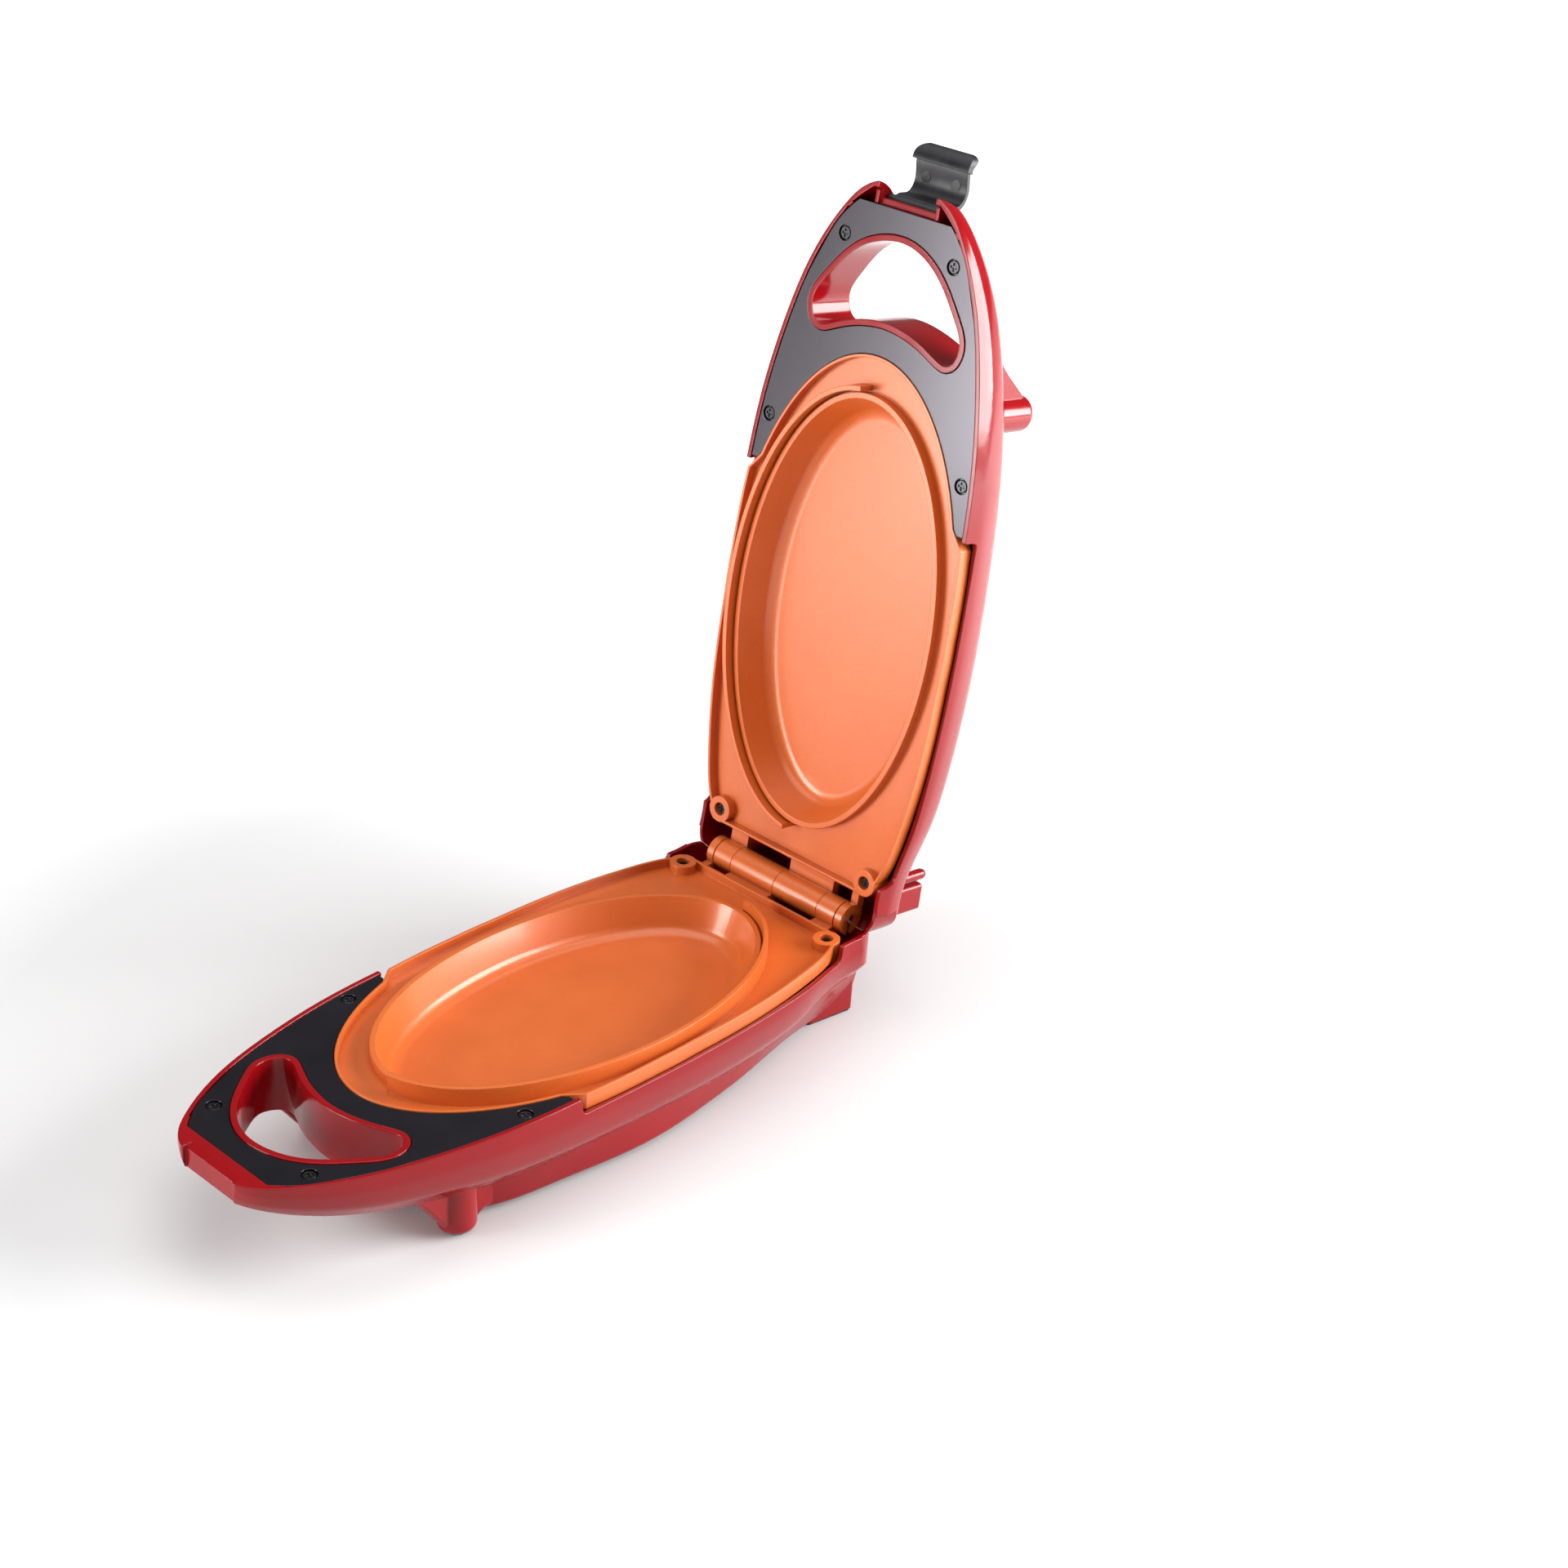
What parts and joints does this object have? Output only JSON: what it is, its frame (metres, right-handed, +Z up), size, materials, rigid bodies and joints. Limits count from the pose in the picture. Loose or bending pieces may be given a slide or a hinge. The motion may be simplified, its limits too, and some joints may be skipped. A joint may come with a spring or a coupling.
{
  "type": "electric pancake maker",
  "caption": "Handheld flip pancake maker: two hinged red housings with copper nonstick oval wells, finger-hole handles, feet on both sides and a pivoting nose latch, shown open.",
  "frame": {"origin": "middle of the bounding box at floor level, on the plane that the lower half's foot pads stand on", "axes": "+Z up; +Y from the nose of the lower half toward the hinge and the standing lid; X across the body, along the hinge pin"},
  "size_m": [0.1494, 0.4528, 0.425],
  "materials": {
    "housing_plastic": "glossy dark red moulding, orange peel, bright along the rim",
    "nonstick": "copper orange nonstick coating on a die casting, fine speckle, satin",
    "trim_plastic": "fine moulded grain, black",
    "dark_screw": "black oxide cross-recess screw",
    "steel_screw": "zinc plated",
    "element_steel": "heat-darkened sheath",
    "shield_steel": "pressed sheet",
    "control_ceramic": "unglazed ceramic body",
    "fuse_sleeve": "glass-fibre sleeve",
    "foot_rubber": "moulded rubber",
    "lead_sleeve": "silicone insulated wire",
    "pin_steel": "ground steel",
    "block_ceramic": "white terminal body",
    "gland_plastic": "black moulding",
    "latch_plastic": "black moulding, satin grain"
  },
  "bodies": {
    "base": {"lower_trim_plate": "trim_plastic", "lower_cooking_plate": "nonstick", "lower_trim_screws": "dark_screw", "lower_plate_screws": "dark_screw", "lower_shield_screws": "steel_screw", "lower_heating_element": "element_steel", "lower_heat_shield": "shield_steel", "lower_thermostat": "control_ceramic", "lower_thermal_fuse": "fuse_sleeve", "lower_front_foot_pads": "foot_rubber", "lower_rear_foot_pads": "foot_rubber", "lower_housing": "housing_plastic", "lower_leads": "lead_sleeve", "hinge_pin": "pin_steel", "terminal_block": "block_ceramic", "cord_gland": "gland_plastic"},
    "lid": {"upper_trim_plate": "trim_plastic", "upper_cooking_plate": "nonstick", "upper_trim_screws": "dark_screw", "upper_plate_screws": "dark_screw", "upper_shield_screws": "steel_screw", "upper_heating_element": "element_steel", "upper_heat_shield": "shield_steel", "upper_thermostat": "control_ceramic", "upper_thermal_fuse": "fuse_sleeve", "upper_front_foot_pads": "foot_rubber", "upper_rear_foot_pads": "foot_rubber", "upper_housing": "housing_plastic", "upper_leads": "lead_sleeve", "latch_pin": "pin_steel"},
    "latch": {"latch": "latch_plastic"}
  },
  "joints": [
    {"name": "lid_hinge", "type": "hinge", "parent": "base", "child": "lid", "pos_m": [0, 0.1316, 0.056], "axis": [1, 0, 0], "range_deg": [0, 98.5]},
    {"name": "latch_pivot", "type": "hinge", "parent": "lid", "child": "latch", "pos_m": [0, 0.19216, 0.40033], "axis": [1, 0, 0], "range_deg": [0, 108]}
  ]
}
